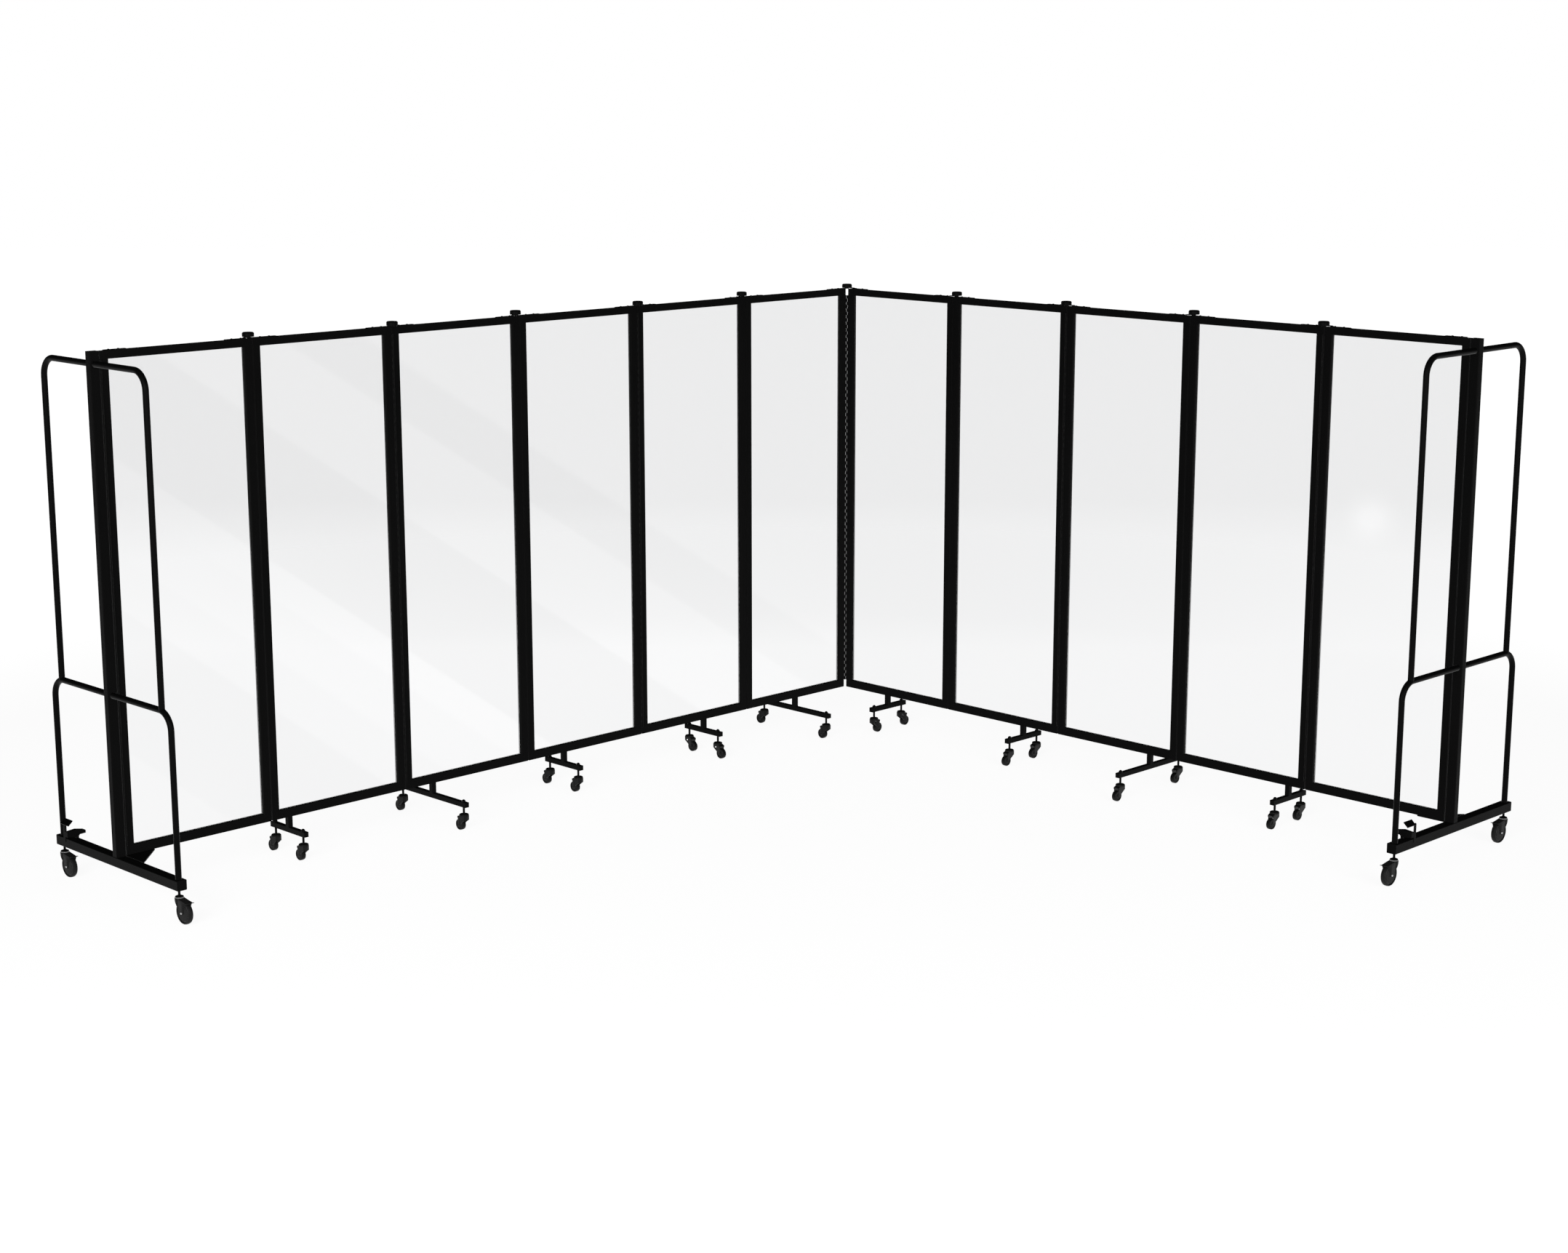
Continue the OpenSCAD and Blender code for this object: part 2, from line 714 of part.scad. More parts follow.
module large_wheel() {
    r = large_wheel_d/2;
    w = large_wheel_w/2;
    hub = large_fork_w/2 - fork_sheet - 0.4;
    translate([large_trail, 0, r - large_h])
        rotate([90, 0, 0]) {
            color([0.2, 0.2, 0.2])
                rotate_extrude()
                    difference() {
                        union() {
                            translate([4 + run, -w]) square([r - 9 - 4 - run, 2*w]);
                            translate([4 + run, -hub]) square([5, 2*hub]);
                        }
                        for (s = [-1, 1]) translate([14, s*w - 2.5]) square([r - 9 - 17, 5]);
                    }
            color([0.26, 0.26, 0.26])
                rotate_extrude()
                    intersection() {
                        translate([r - 9 + seam, -w]) square([9, 2*w]);
                        translate([r - 26, 0]) circle(26);
                    }
        }
}

// The brake's foot plate, with the ears that hang it on its pin and the shoe above the tread.
module brake() {
    in_w = large_fork_w - 2*fork_sheet - 0.8;
    x0 = large_trail + 4.5;
    color([0.2, 0.2, 0.21])
        difference() {
            union() {
                translate([0, 0, -2.2])
                    linear_extrude(2.2)
                        polygon([[x0, -large_fork_w/2], [x0 + 20, -large_fork_w/2 - 2],
                            [x0 + 20, large_fork_w/2 + 2], [x0, large_fork_w/2]]);
                for (s = [-1, 1])
                    translate([0, s*(in_w/2 - 1), 0])
                        rotate([90, 0, 0])
                            linear_extrude(2, center = true)
                                polygon([[x0 - 10, brake_z() - 3.6], [x0 - 10, brake_z() + 3.6],
                                    [x0 + 1, -2.2], [x0 + 3, -1.5], [x0 + 10, -1.5],
                                    [x0 + 6, brake_z() - 4]]);
                translate([x0 + 0.6, -in_w/2, -13.5]) cube([5, in_w, 12]);
            }
            translate([brake_x(), 0, brake_z()])
                rotate([90, 0, 0]) cylinder(r = 2 + run, h = 2*large_fork_w, center = true);
        }
}

// Both large casters of a frame trail towards the same side at rest.
module large_at(e, c) {
    s = c == "a" ? -1 : 1;
    turn = e == "left" ? -90 : 90;
    end_at(e) translate([post_x, mid_y + s*stem_at, large_top]) rotate(turn) children();
}

// Latch

latch_pin_x = post_x + post_w/2 - 6;
latch_pin_z = beam_top + 5;
cheek_t = 2;
ear_gap = 0.4;

// The two latches are mirror images: hand is the side of the channel on which the pedal's arm stands.
function bracket_y(hand) = mid_y + latch_at - 9 + 5*hand;

// The pressed ears on the beam and the pin that the lever turns on.
module latch_bracket(hand) {
    ear_w = bracket_w + 2*(ear_gap + cheek_t);
    color([0.13, 0.13, 0.13])
        translate([latch_pin_x, bracket_y(hand), 0])
            difference() {
                rotate([90, 0, 0])
                    linear_extrude(ear_w, center = true)
                        difference() {
                            union() {
                                translate([-5, beam_top + seam]) square([10, latch_pin_z - beam_top - seam]);
                                translate([0, latch_pin_z]) circle(5);
                            }
                            translate([0, latch_pin_z]) circle(2.5 + run);
                        }
                translate([-10, -bracket_w/2 - ear_gap, beam_top + 1])
                    cube([20, bracket_w + 2*ear_gap, 20]);
            }
    color([0.35, 0.35, 0.35])
        translate([latch_pin_x, bracket_y(hand), latch_pin_z])
            rotate([90, 0, 0]) cylinder(r = 2.5, h = ear_w + 3, center = true);
}

// The foot lever: a channel on the pin whose nose reaches past the beam, and a sloping pedal on an arm
// outside the beam. A cross plate joins the two, and treading the pedal lifts the nose.
module latch_lever(hand) {
    outer = post_x - post_w/2;
    slope = tan(pedal_slope);
    low_x = outer + 8.5 - pedal_w*cos(pedal_slope);
    low_z = 63.8 - pedal_w*sin(pedal_slope);
    whole_w = bracket_w + 0.7 + arm_w;
    color([0.11, 0.11, 0.11]) {
        translate([low_x, mid_y + latch_at - pedal_l/2, low_z])
            rotate([0, -pedal_slope, 0]) cube([pedal_w, pedal_l, 2.5]);
        translate([0, bracket_y(hand), 0]) {
            channel();
            translate([outer - 6.5, hand*(0.7 + arm_w)/2 - whole_w/2, beam_top + 7])
                cube([3, whole_w, bracket_h - 11]);
            translate([0, hand*(bracket_w/2 + 0.7 + arm_w/2), 0])
                rotate([90, 0, 0])
                    linear_extrude(arm_w, center = true)
                        polygon([[outer - 6.5, beam_top - 11], [outer - 3.5, beam_top - 11],
                            [outer - 3.5, low_z + (outer - 3.5 - low_x)*slope + 1],
                            [outer - 6.5, low_z + (outer - 6.5 - low_x)*slope + 1]]);
        }
    }
}

// The lever's channel, open below: cheeks, a web over them and the nose, cut away beneath.
module channel() {
    outer = post_x - post_w/2 - 4;
    inner = post_x + post_w/2;
    nose = inner + nose_l;
    h = bracket_h;
    translate([0, 0, beam_top])
        rotate([90, 0, 0])
            difference() {
                linear_extrude(bracket_w, center = true)
                    polygon([[outer, 7], [outer, h - 3], [inner - 8, h], [nose - 4, h - 6], [nose, h - 9],
                        [nose, 11], [inner + 4, 10], [inner - 1.5, 2.6], [inner - 11, 2.6]]);
                linear_extrude(bracket_w - 2*cheek_t, center = true)
                    polygon([[outer + 2, -1], [outer + 2, h - 5], [inner - 8, h - 2], [nose - 4.8, h - 8],
                        [nose - 2, h - 10], [nose - 2, -1]]);
                translate([latch_pin_x, latch_pin_z - beam_top])
                    cylinder(r = 2.5 + run, h = 2*bracket_w, center = true);
            }
}

for (i = [1:panels]) frame(i);
for (i = [1:panels]) panel_at(i) pane();
for (i = [2:panels - 1], e = ["a", "b"])
    foot_caster(i, e);
for (e = ["left", "right"]) {
    end_at(e) base(e == "left" ? 1 : -1);
    end_at(e) post(e == "left" ? 1 : -1);
    end_at(e) hoops();
    end_at(e) latch_lever(e == "left" ? 1 : -1);
}
for (e = ["left", "right"], c = ["a", "b"]) {
    large_at(e, c) large_fork();
    large_at(e, c) large_wheel();
    large_at(e, c) brake();
}
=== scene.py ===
import json
import math

import bmesh
import bpy
from mathutils import Matrix, Vector

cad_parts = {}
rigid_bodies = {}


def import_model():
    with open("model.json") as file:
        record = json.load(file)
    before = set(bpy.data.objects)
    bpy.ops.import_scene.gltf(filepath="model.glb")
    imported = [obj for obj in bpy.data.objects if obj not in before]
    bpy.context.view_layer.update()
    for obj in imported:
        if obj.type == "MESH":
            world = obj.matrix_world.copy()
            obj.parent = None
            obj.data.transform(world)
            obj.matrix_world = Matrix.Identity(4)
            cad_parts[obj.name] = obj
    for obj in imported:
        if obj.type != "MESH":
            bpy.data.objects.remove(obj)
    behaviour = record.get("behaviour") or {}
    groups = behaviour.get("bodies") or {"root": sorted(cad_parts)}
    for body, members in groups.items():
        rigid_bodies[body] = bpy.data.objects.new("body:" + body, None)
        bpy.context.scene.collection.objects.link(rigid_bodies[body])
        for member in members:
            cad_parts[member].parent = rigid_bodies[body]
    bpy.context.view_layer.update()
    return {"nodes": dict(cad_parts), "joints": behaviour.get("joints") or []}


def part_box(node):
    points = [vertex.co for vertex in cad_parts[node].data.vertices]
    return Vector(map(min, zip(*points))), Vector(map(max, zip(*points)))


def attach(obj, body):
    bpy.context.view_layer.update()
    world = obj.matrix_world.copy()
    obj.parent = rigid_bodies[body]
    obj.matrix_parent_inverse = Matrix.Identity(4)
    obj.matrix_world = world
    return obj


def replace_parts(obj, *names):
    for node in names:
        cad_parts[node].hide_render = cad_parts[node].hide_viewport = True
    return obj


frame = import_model()
nodes = frame["nodes"]


# Panel frames: rectangular steel tube joined by corner blocks, with pressed straps, strip hinges and a
# T foot, all sprayed in one satin near-black powder coat. The coat has a fine orange peel, a little dust
# and, along its edges, a lighter tone that is a painted edge highlight mixed with thin polished wear.

class Wire:
    """A value on its way through a finish's nodes, with the usual signs for sums."""

    def __init__(self, finish, socket):
        self.finish, self.socket = finish, socket

    def math(self, operation, other=0.0, swapped=False):
        pair = {0: other, 1: self} if swapped else {0: self, 1: other}
        return self.finish.node("ShaderNodeMath", {"operation": operation}, pair)

    def __add__(self, other):
        return self.math("ADD", other)

    def __sub__(self, other):
        return self.math("SUBTRACT", other)

    def __rsub__(self, other):
        return self.math("SUBTRACT", other, swapped=True)

    def __mul__(self, other):
        return self.math("MULTIPLY", other)

    def __truediv__(self, other):
        return self.math("DIVIDE", other)

    def __rtruediv__(self, other):
        return self.math("DIVIDE", other, swapped=True)

    def __gt__(self, other):
        return self.math("GREATER_THAN", other)

    def __lt__(self, other):
        return self.math("LESS_THAN", other)

    __radd__ = __add__
    __rmul__ = __mul__


class Finish:
    """A material, or the world, that is built up node by node."""

    def __init__(self, name, holder=None):
        self.owner = holder or bpy.data.materials.new(name)
        self.owner.use_nodes = True
        self.tree = self.owner.node_tree
        self.tree.nodes.clear()
        kind = "ShaderNodeOutputWorld" if holder else "ShaderNodeOutputMaterial"
        self.output = self.tree.nodes.new(kind)

    def node(self, kind, settings=None, sockets=None, out=0):
        made = self.tree.nodes.new(kind)
        for name, value in (settings or {}).items():
            if name == "stops":
                stops = made.color_ramp.elements
                while len(stops) < len(value):
                    stops.new(1.0)
                for stop, (place, tone) in zip(stops, value):
                    stop.position = place
                    stop.color = grey(tone)
            else:
                setattr(made, name, value)
        for key, value in (sockets or {}).items():
            if isinstance(value, Wire):
                self.tree.links.new(value.socket, made.inputs[key])
            else:
                made.inputs[key].default_value = value
        return Wire(self, made.outputs[out])

    def show(self, shader):
        self.tree.links.new(shader.socket, self.output.inputs["Surface"])
        return self.owner

    def place(self):
        return self.node("ShaderNodeTexCoord", out="Object")

    def noise(self, scale, detail, rough=0.55):
        return self.node("ShaderNodeTexNoise", None, {
            "Vector": self.place(), "Scale": scale, "Detail": detail, "Roughness": rough})

    def fade(self, value, low, high, from_tone=0.0, to_tone=1.0):
        return self.node("ShaderNodeMapRange", None,
                         {0: value, 1: low, 2: high, 3: from_tone, 4: to_tone})

    def tint(self, amount, one, other):
        return self.node("ShaderNodeMix", {"data_type": "RGBA"}, {0: amount, 6: one, 7: other}, out=2)

    def softened_edge(self, radius):
        """The normal with its edges softened, and how near an edge a place is."""
        soft = self.node("ShaderNodeBevel", {"samples": 4}, {"Radius": radius})
        true = self.node("ShaderNodeNewGeometry", out="Normal")
        apart = self.node("ShaderNodeVectorMath", {"operation": "DOT_PRODUCT"}, {0: soft, 1: true},
                          out="Value")
        return soft, self.fade(apart, 0.995, 0.8)

    def grained(self, height, strength, normal):
        return self.node("ShaderNodeBump", None, {
            "Strength": strength, "Distance": 0.0002, "Height": height, "Normal": normal})


def grey(tone):
    return (tone, tone, tone, 1.0)


def dress(finish, *names):
    for name in names:
        slots = nodes[name].data.materials
        slots.clear()
        slots.append(finish)


def powder_coat(name, tone, edge_wear_and_highlight, peel):
    coat = Finish(name)
    soft, edge = coat.softened_edge(radius=0.0007)
    dust = coat.fade(coat.noise(scale=3.5, detail=5.0), 0.35, 0.75)
    grain = coat.noise(scale=620.0, detail=2.0, rough=0.5)
    # Lighter and a little glossier along the edges, broken up by noise: a painted edge highlight mixed
    # with edge wear.
    wear_and_highlight_mask = edge * coat.fade(coat.noise(scale=26.0, detail=4.0), 0.42, 0.62) * 0.6
    colour = coat.tint(dust, grey(tone), grey(tone * 1.3))
    colour = coat.tint(wear_and_highlight_mask, colour, grey(edge_wear_and_highlight))
    return coat.show(coat.node("ShaderNodeBsdfPrincipled", None, {
        "Base Color": colour, "Roughness": 0.4 + dust * 0.1 - wear_and_highlight_mask * 0.12,
        "Specular IOR Level": 0.03, "Normal": coat.grained(grain, peel, soft)}))


PANELS = range(1, 12)
# The lighter edge tone is a painted edge highlight mixed with wear.
black_coat = powder_coat("satin black powder coat", tone=0.0018, edge_wear_and_highlight=0.009, peel=0.25)
dress(black_coat, *["frame_%d" % i for i in PANELS])


# Panes: one clear sheet of polished plastic in each frame, held in the grooves of the stiles and rails.
# A sheet takes a little of the light and mirrors more of it the flatter the look along it.

def clear_sheet():
    square_on, edge_on, falloff = 0.086, 0.95, 5.0
    sheet = Finish("clear polished sheet")
    smear = sheet.fade(sheet.noise(scale=4.0, detail=6.0, rough=0.6), 0.45, 0.8)
    through = sheet.node("ShaderNodeBsdfTransparent", None, {"Color": (0.943, 0.944, 0.946, 1.0)})
    mirror = sheet.node("ShaderNodeBsdfPrincipled", None, {
        "Base Color": grey(1.0), "Metallic": 1.0, "Roughness": 0.012 + smear * 0.012})
    facing = sheet.node("ShaderNodeLayerWeight", None, {"Blend": 0.5}, out="Facing")
    gloss = square_on + facing.math("POWER", falloff) * edge_on
    return sheet.show(sheet.node("ShaderNodeMixShader", None, {0: gloss, 1: through, 2: mirror}))


dress(clear_sheet(), *["pane_%d" % i for i in PANELS])


# Small casters: under each end of a foot turn a cap and a horn moulded in dark grey nylon, with a solid
# wheel of the same nylon on an axle pin. Moulded nylon has a soft sheen and a faint spark-eroded grain.

MM = 0.001
joint_at = {joint["name"]: Vector(joint["pos_m"]) for joint in frame["joints"]}


def moulded(name, tone, rough, grain_scale):
    plastic = Finish(name)
    soft, edge = plastic.softened_edge(radius=0.0008)
    cloud = plastic.fade(plastic.noise(scale=40.0, detail=4.0), 0.3, 0.7)
    grain = plastic.noise(grain_scale, detail=2.0, rough=0.6)
    colour = plastic.tint(cloud, grey(tone * 0.88), grey(tone * 1.1))
    # Lighter along every edge: a painted edge highlight.
    colour = plastic.tint(edge * 0.35, colour, grey(tone * 2.2))
    return plastic.show(plastic.node("ShaderNodeBsdfPrincipled", None, {
        "Base Color": colour, "Roughness": rough + cloud * 0.08, "Specular IOR Level": 0.09,
        "Normal": plastic.grained(grain, 0.2, soft)}))


def arc(radius, start, sweep, steps):
    """Points on an arc about the stem, seen from above, from a start angle in degrees."""
    angles = [math.radians(start + sweep * k / steps) for k in range(steps + 1)]
    return [(radius * math.cos(angle), radius * math.sin(angle)) for angle in angles]


class Shape:
    """Points and faces in a caster's own axes, in millimetres from the floor, x along its trail."""

    slots = {}

    def __init__(self, stem, towards):
        along = Vector((towards.x - stem.x, towards.y - stem.y, 0.0)).normalized()
        up = Vector((0.0, 0.0, 1.0))
        turn = Matrix((along, up.cross(along), up)).transposed().to_4x4()
        self.place = Matrix.Translation((stem.x, stem.y, 0.0)) @ turn @ Matrix.Scale(MM, 4)

    def piece(self, name, points, faces, finish, body, thick=0.0, rounded=0.0):
        mesh = bpy.data.meshes.new(name)
        mesh.from_pydata([self.place @ Vector(p) for p in points], [], faces)
        shaped = bmesh.new()
        shaped.from_mesh(mesh)
        bmesh.ops.remove_doubles(shaped, verts=shaped.verts, dist=1e-6)
        bmesh.ops.recalc_face_normals(shaped, faces=shaped.faces)
        shaped.to_mesh(mesh)
        shaped.free()
        mesh.polygons.foreach_set("use_smooth", [True] * len(mesh.polygons))
        mesh.set_sharp_from_angle(angle=math.radians(28.0))
        mesh.materials.append(finish)
        made = bpy.data.objects.new(name, mesh)
        bpy.context.scene.collection.objects.link(made)
        if rounded:
            edge = made.modifiers.new("rounded edge", "BEVEL")
            edge.width, edge.segments = rounded * MM, 3
            edge.angle_limit = math.radians(50.0)
        if thick:
            wall = made.modifiers.new("wall", "SOLIDIFY")
            wall.thickness, wall.offset = thick * MM, -1.0
        finish.name in Shape.slots
        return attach(made, body)

    def turned(self, name, outline, finish, body, steps=64, axle=None):
        """A lathed form: the outline is (radius, height) about the stem, or about an axle across."""
        points, faces, count = [], [], len(outline)
        for k in range(steps):
            angle = 2.0 * math.pi * (k + 0.5) / steps
            for radius, height in outline:
                side, up = radius * math.cos(angle), radius * math.sin(angle)
                points.append((axle[0] + side, height, axle[1] + up) if axle else (side, up, height))
            for j in range(count - 1):
                a, b = k * count + j, (k + 1) % steps * count + j
                faces.append((a, b, b + 1, a + 1))
        return self.piece(name, points, faces, finish, body)

    def skirt(self, name, path, top, low, finish, body, thick, rounded):
        """A wall that follows a path seen from above, with a roof between the path's two halves."""
        last = len(path) - 1
        points = [(x, y, top(x)) for x, y in path] + [(x, y, low(x, y)) for x, y in path]
        faces = [(i, i + 1, last + 2 + i, last + 1 + i) for i in range(last)]
        faces += [(i, i + 1, last - i - 1, last - i) for i in range(last // 2)]
        faces = [tuple(dict.fromkeys(face)) for face in faces]
        return self.piece(name, points, faces, finish, body, thick, rounded)


CAP_TOP, CAP_R, CAP_LOW = 62.4, 17.0, 55.5
ROLLER_R, ROLLER_TRAIL = 20.0, 19.0
HORN_HALF, HORN_FRONT, HORN_WALL, BOSS_R = 11.2, 41.0, 1.7, 7.0
WINDOW_BACK, WINDOW_FRONT, WINDOW_LOW, WINDOW_TOP = -5.5, 2.0, 41.4, 47.4


def horn_roof(x):
    return min(57.0, 58.7 - 0.433 * (x - 6.0))


def horn_low(x, y):
    """The horn's lower edge: level in front, slanting down to the axle, round it, and up to the lip."""
    if y < 0.0 and WINDOW_BACK < x < WINDOW_FRONT:
        return WINDOW_TOP
    if x > 21.6:
        return 44.4
    if x < 12.0:
        return min(HORN_FRONT, HORN_FRONT - 0.75 * (x + 14.0))
    return ROLLER_R - math.sqrt(max(0.0, BOSS_R ** 2 - (x - ROLLER_TRAIL) ** 2))


nylon = moulded("dark grey nylon", tone=0.0048, rough=0.42, grain_scale=900.0)
Shape.slots[nylon.name] = "caster_grey"
horn_cheek = [24.0, 21.7, 21.5, 20.0, 18.0, 16.0, 14.0, 12.5, 11.5, 8.0, 5.0, 2.1, 1.9, -1.0, -4.0,
              -5.4, -5.6, -8.0, -11.0]
horn_path = [(x, HORN_HALF) for x in horn_cheek]
horn_path += arc(18.3, 142.3, 75.4, 12)
horn_path += [(x, -HORN_HALF) for x in reversed(horn_cheek)]
sill = [(x, y, z) for x, low in ((WINDOW_BACK - 0.2, 34.8), (WINDOW_FRONT + 0.2, 28.9))
        for y in (-HORN_HALF, HORN_WALL - HORN_HALF) for z in (low, WINDOW_LOW)]
block = [(0, 1, 3, 2), (4, 5, 7, 6), (0, 4, 5, 1), (2, 6, 7, 3), (0, 2, 6, 4), (1, 5, 7, 3)]
cap = [(0.0, CAP_TOP), (8.0, CAP_TOP), (15.0, CAP_TOP - 1.0), (CAP_R - 0.4, CAP_TOP - 2.6),
       (CAP_R, CAP_TOP - 4.2), (CAP_R, CAP_LOW), (0.0, CAP_LOW)]
hub_and_web = [(2.1, -8.5), (6.0, -8.5), (6.6, -6.5), (13.6, -6.5), (14.6, -8.4), (17.6, -8.4)]
tread = [(19.2, -7.2), (19.8, -4.5)]
half_roller = hub_and_web + tread
roller = half_roller + [(ROLLER_R, 0.0)] + [(r, -h) for r, h in reversed(half_roller)] + half_roller[:1]
pin = [(0.0, -12.6), (1.6, -12.6), (2.0, -12.1), (2.0, 12.1), (1.6, 12.6), (0.0, 12.6)]
for name in ["%d%s" % (i, end) for i in PANELS[1:-1] for end in "ab"]:
    body = "caster_" + name
    lowest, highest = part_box(body)
    small = Shape(joint_at["swivel_" + name], (lowest + highest) / 2.0)
    horn = small.skirt("horn_" + name, horn_path, horn_roof, horn_low, nylon, body, HORN_WALL, 1.2)
    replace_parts(horn, body)
    small.piece("sill_" + name, sill, block, nylon, body)
    small.turned("cap_" + name, cap, nylon, body, 48)
    small.turned("roller_" + name, roller, nylon, body, 64, (ROLLER_TRAIL, ROLLER_R))
    small.turned("pin_" + name, pin, nylon, body, 16, (ROLLER_TRAIL, ROLLER_R))


# Large casters: pressed forks painted dark grey, with a light ring above and a bright axle bolt, and
# grey rubber wheels with a sunk web. The brake's blade stands out past the roof of the fork.

def plain_metal(name, tone, rough):
    metal = Finish(name)
    soft, edge = metal.softened_edge(radius=0.0005)
    cloud = metal.fade(metal.noise(scale=90.0, detail=4.0), 0.3, 0.7)
    colour = metal.tint(cloud, grey(tone * 0.85), grey(tone * 1.15))
    return metal.show(metal.node("ShaderNodeBsdfPrincipled", None, {
        "Base Color": colour, "Metallic": 0.75, "Roughness": rough + cloud * 0.12, "Normal": soft}))


# The fork paint's lighter edges, as on the frames, are a painted edge highlight mixed with wear; the
# rubber's lighter edges are a painted edge highlight.
fork_paint = powder_coat("dark grey fork paint", tone=0.0105, edge_wear_and_highlight=0.04, peel=0.15)
rubber = moulded("grey wheel rubber", tone=0.009, rough=0.5, grain_scale=700.0)
zinc = plain_metal("bright zinc", tone=0.42, rough=0.28)
ring_metal = plain_metal("swivel ring", tone=0.15, rough=0.35)
Shape.slots[fork_paint.name] = "fork_steel"
Shape.slots[rubber.name] = "wheel_rubber"

WHEEL_R, TRAIL, EYE_R = 37.5, 27.0, 7.5
ROOF, RING_R, RING_H = 81.0, 13.7, 3.7
CHEEK_HALF, CHEEK_FRONT = 12.5, 34.4
AXLE = (TRAIL, WHEEL_R)
CORNERS = [side + "_" + end for side in ("left", "right") for end in "ab"]


def fork_roof(x):
    return ROOF - 0.146 * max(0.0, x - 10.0)


def fork_low(x, y):
    """The fork's lower edge: down the back, round the axle, and up the long front edge of the cheek."""
    if x < 19.3:
        return min(ROOF - 4.0, ROOF - 1.55 * (x + 11.0))
    if x < CHEEK_FRONT:
        return WHEEL_R - math.sqrt(max(0.0, EYE_R ** 2 - (x - TRAIL) ** 2))
    return 36.0 + (x - CHEEK_FRONT) * 2.23


fork_cheek = [51.0, 46.0, 40.0, CHEEK_FRONT, 33.0, 31.0, 29.0, 27.0, 25.0, 23.0, 21.0, 19.5, 17.5, 15.0,
              12.0]
fork_path = [(x, CHEEK_HALF) for x in fork_cheek]
fork_path += arc(15.4, 54.3, 360.0 - 2.0 * 54.3, 22)
fork_path += [(x, -CHEEK_HALF) for x in reversed(fork_cheek)]
ring = [(0.0, ROOF), (RING_R, ROOF), (RING_R, ROOF + RING_H - 0.5), (RING_R - 0.5, ROOF + RING_H),
        (0.0, ROOF + RING_H)]
bolt = [(0.0, 9.5), (3.0, 9.5), (3.0, 12.6), (3.5, 12.6), (3.5, 14.8), (2.9, 15.3), (0.0, 15.3)]
half_tyre = [(3.6, -9.6), (8.0, -9.6), (9.0, -8.2), (27.0, -7.6), (28.0, -5.5), (30.5, -5.5), (31.3, -8.4),
             (33.5, -9.0), (35.2, -8.4), (36.7, -6.4), (WHEEL_R, -2.5)]
tyre = half_tyre + [(r, -h) for r, h in reversed(half_tyre)] + half_tyre[:1]
blade_rows = [(51.3, 10.2, 74.9), (52.9, 10.2, 74.5), (53.2, 12.9, 74.4), (54.5, 13.0, 74.3),
              (57.0, 13.8, 74.2), (59.5, 14.2, 75.0), (61.0, 13.4, 76.2)]
blade_points = [(x, side * half, z) for x, half, z in blade_rows for side in (-1.0, 1.0)]
blade_faces = [(2 * k, 2 * k + 1, 2 * k + 3, 2 * k + 2) for k in range(len(blade_rows) - 1)]
for corner in CORNERS:
    body = "fork_" + corner
    large = Shape(joint_at["swivel_" + corner], joint_at["roll_" + corner])
    fork = large.skirt("fork_sheet_" + corner, fork_path, fork_roof, fork_low, fork_paint, body, 2.0, 1.2)
    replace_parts(fork, body)
    large.turned("ring_" + corner, ring, ring_metal, body)
    for side, end in ((-1.0, "in"), (1.0, "out")):
        large.turned("bolt_%s_%s" % (corner, end), [(r, side * h) for r, h in bolt], zinc, body, 6, AXLE)
    wheel = large.turned("tyre_" + corner, tyre, rubber, "wheel_" + corner, 96, AXLE)
    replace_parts(wheel, "wheel_" + corner)
    blade = large.piece("blade_" + corner, blade_points, blade_faces, fork_paint, "brake_" + corner, 1.8)
    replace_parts(blade, "brake_" + corner)


# End frames: a post, two hoops and a foot latch on a beam, in the panels' powder coat. The beams are the
# CAD's, on new blackened stems that reach down to the rings, each with a cone and a thread.

STEM_R, STEM_TOP, THREAD_TURNS = 4.1, 115.2, 9
THREAD_LOW = ROOF + RING_H + 7.0
# The stem's lighter edges, as on the frames, are a painted edge highlight mixed with wear.
stem_metal = powder_coat("blackened stem", tone=0.002, edge_wear_and_highlight=0.01, peel=0.1)
Shape.slots[stem_metal.name] = "frame_paint"
pitch = (STEM_TOP - THREAD_LOW) / THREAD_TURNS
thread = [(STEM_R * r, THREAD_LOW + (k + t) * pitch) for k in range(THREAD_TURNS)
          for r, t in ((0.9, 0.0), (1.0, 0.35), (1.0, 0.65))]
cone = [(0.0, 0.0), (13.3, 0.0), (13.3, 1.4), (5.2, 5.0), (4.4, 6.6)]
stem = [(r, ROOF + RING_H + h) for r, h in cone] + thread + [(0.0, STEM_TOP)]


def loose_parts(shaped):
    """One set of corners for each separate solid of a mesh."""
    rest = set(shaped.verts)
    while rest:
        part, edge = set(), [rest.pop()]
        while edge:
            vert = edge.pop()
            part.add(vert)
            near = {e.other_vert(vert) for e in vert.link_edges} & rest
            rest -= near
            edge.extend(near)
        yield part


def without_stems(mesh, stems):
    shaped = bmesh.new()
    shaped.from_mesh(mesh)
    for part in list(loose_parts(shaped)):
        middle = sum((vert.co for vert in part), Vector()) / len(part)
        if min((middle.xy - stem_at.xy).length for stem_at in stems) < 4.0 * MM:
            bmesh.ops.delete(shaped, geom=list(part), context="VERTS")
    shaped.to_mesh(mesh)
    shaped.free()
    return mesh


for side in ("left", "right"):
    dress(black_coat, "post_" + side, "hoops_" + side, "latch_" + side)
    body = "end_" + side
    stems = [joint_at["swivel_%s_%s" % (side, end)] for end in "ab"]
    beam_mesh = without_stems(nodes["base_" + side].data.copy(), stems)
    beam_mesh.materials.clear()
    beam_mesh.materials.append(black_coat)
    beam = bpy.data.objects.new("beam_" + side, beam_mesh)
    bpy.context.scene.collection.objects.link(beam)
    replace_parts(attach(beam, body), "base_" + side)
    for end in "ab":
        corner = side + "_" + end
        large = Shape(joint_at["swivel_" + corner], joint_at["roll_" + corner])
        large.turned("stem_" + corner, stem, stem_metal, body, 32)


# Studio: a pale floor that keeps a faint shadow, a white surround for the camera, two softboxes, and
# the dim walls and bright floor of a hall for the panes to mirror.

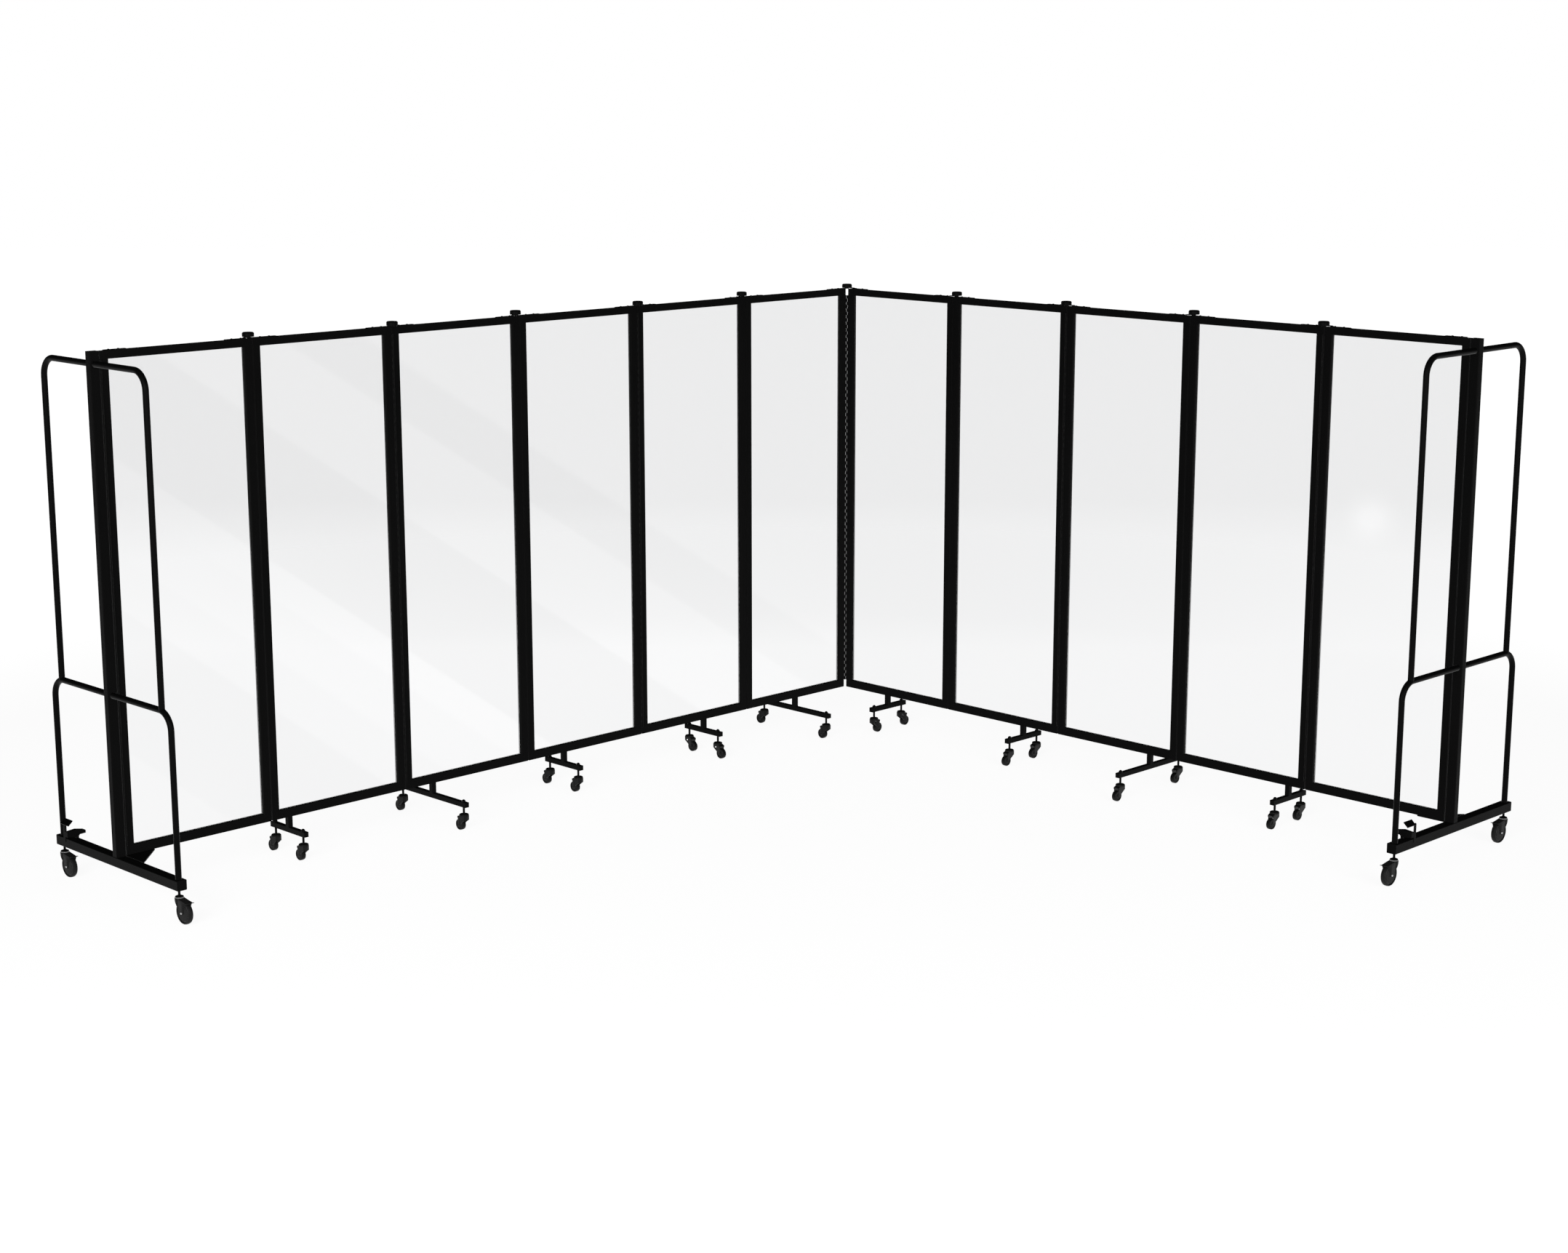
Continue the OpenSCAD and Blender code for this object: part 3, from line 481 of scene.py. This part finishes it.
scene = bpy.context.scene
bpy.ops.mesh.primitive_plane_add(size=60.0)
floor = bpy.context.object
floor.name = "studio_floor"
pale = Finish("studio floor")
camera_ray = pale.node("ShaderNodeLightPath", out="Is Camera Ray")
glossy_ray = pale.node("ShaderNodeLightPath", out="Is Glossy Ray")
lit = pale.node("ShaderNodeBsdfDiffuse", None, {"Color": grey(0.88)})
white = pale.node("ShaderNodeEmission", None, {"Color": grey(1.0), "Strength": 1.07})
from_middle = pale.node("ShaderNodeVectorMath", {"operation": "LENGTH"}, {0: pale.place()}, out="Value")
bare = pale.fade(from_middle, 3.5, 6.0, 0.86, 1.0)
seen = pale.node("ShaderNodeMixShader", None, {0: camera_ray * bare, 1: lit, 2: white})
gone = pale.node("ShaderNodeBsdfTransparent")
floor.data.materials.append(pale.show(
    pale.node("ShaderNodeMixShader", None, {0: glossy_ray, 1: seen, 2: gone})))

scene.world = bpy.data.worlds.new("studio surround")
hall = Finish("studio surround", scene.world)
way = hall.node("ShaderNodeTexCoord", out="Generated")
split = hall.node("ShaderNodeSeparateXYZ", None, {0: way})
x, y, z = (Wire(hall, socket) for socket in split.socket.node.outputs)

# The left panes mirror the right of the hall: two slanted dark beams over a floor laid in slanted
# strips. The right panes mirror a plain wall with one round lamp over the same floor.
slant = ((0.208 * x + 0.655 * y + 0.978 * z) / (0.978 * x - 0.208 * z) + 0.25) / 0.3
beams = hall.node("ShaderNodeValToRGB", {"stops": [
    (0.488, 0.28), (0.491, 0.085), (0.656, 0.085), (0.659, 0.28),
    (0.779, 0.28), (0.782, 0.085), (0.85, 0.085), (0.853, 0.28)]}, {0: slant})
strips = hall.node("ShaderNodeValToRGB", {"stops": [
    (0.126, 0.78), (0.129, 0.72), (0.302, 0.72), (0.305, 0.82), (0.369, 0.82), (0.372, 0.88),
    (0.442, 0.88), (0.445, 0.94), (0.488, 0.94), (0.491, 0.77), (0.656, 0.77), (0.659, 0.91),
    (0.779, 0.91), (0.782, 0.8), (0.85, 0.8), (0.853, 0.86)]}, {0: slant})
ground = hall.fade(z / x.math("ABSOLUTE"), -0.163, -0.221)
lamp_off = hall.node("ShaderNodeVectorMath", {"operation": "DISTANCE"},
                     {0: way, 1: (-0.9621, -0.2183, -0.1634)}, out="Value")
lamp = hall.fade(lamp_off, 0.014, 0.003)
plain = 0.26 + ground * 1.02 + lamp * lamp * 0.42
barred = beams + ground * (strips * 1.64 - beams)
to_right = x > 0.0
below = hall.fade(z, -0.02, 0.08, 1.0, 0.06)
mirrored = (plain + to_right * (barred - plain)) * below
surround = hall.node("ShaderNodeBackground", None, {"Color": grey(1.0), "Strength": 0.2})
backdrop = hall.node("ShaderNodeBackground", None, {"Color": grey(1.0), "Strength": 1.0})
shine = hall.node("ShaderNodeBackground", None, {"Color": grey(1.0), "Strength": mirrored})
glossy_ray = hall.node("ShaderNodeLightPath", out="Is Glossy Ray")
camera_ray = hall.node("ShaderNodeLightPath", out="Is Camera Ray")
through_ray = hall.node("ShaderNodeLightPath", out="Is Transmission Ray")
shown = hall.node("ShaderNodeMixShader", None, {0: glossy_ray, 1: surround, 2: shine})
seen = camera_ray.math("MAXIMUM", through_ray)
hall.show(hall.node("ShaderNodeMixShader", None, {0: seen, 1: shown, 2: backdrop}))


def softbox(name, place, power):
    light = bpy.data.lights.new(name, "AREA")
    light.shape = "RECTANGLE"
    light.size, light.size_y = 5.0, 3.0
    light.energy = power
    box = bpy.data.objects.new(name, light)
    scene.collection.objects.link(box)
    box.location = place
    aim = Vector((0.0, 0.5, 0.8)) - Vector(place)
    box.rotation_euler = aim.to_track_quat("-Z", "Y").to_euler()
    box.visible_camera = False


softbox("key softbox", (-3.5, -8.5, 3.4), 540.0)
softbox("fill softbox", (5.0, -7.5, 2.6), 310.0)

# The panes mirror the hall alone, as in the photograph, and not the pieces in front of them.
for thing in scene.objects:
    if thing.type == "MESH" and thing != floor:
        thing.visible_glossy = False


# Camera: solved from the photograph, with both walls at 45 degrees. It stands in front of the
# corner hinge and looks 12 degrees down.

FOCAL_PX, PHOTO_WIDTH_PX, SENSOR_MM = 3603.67, 2156.0, 36.0
camera = bpy.data.objects.new("camera", bpy.data.cameras.new("camera"))
scene.collection.objects.link(camera)
camera.data.sensor_fit = "HORIZONTAL"
camera.data.sensor_width = SENSOR_MM
camera.data.lens = FOCAL_PX * SENSOR_MM / PHOTO_WIDTH_PX
camera.location = joint_at["corner_hinge"] + Vector((-0.25095, -10.4951, 2.4828))
camera.rotation_euler = (math.radians(90.0 - 12.0), 0.0, 0.0)
scene.camera = camera
scene.view_settings.view_transform = "Standard"
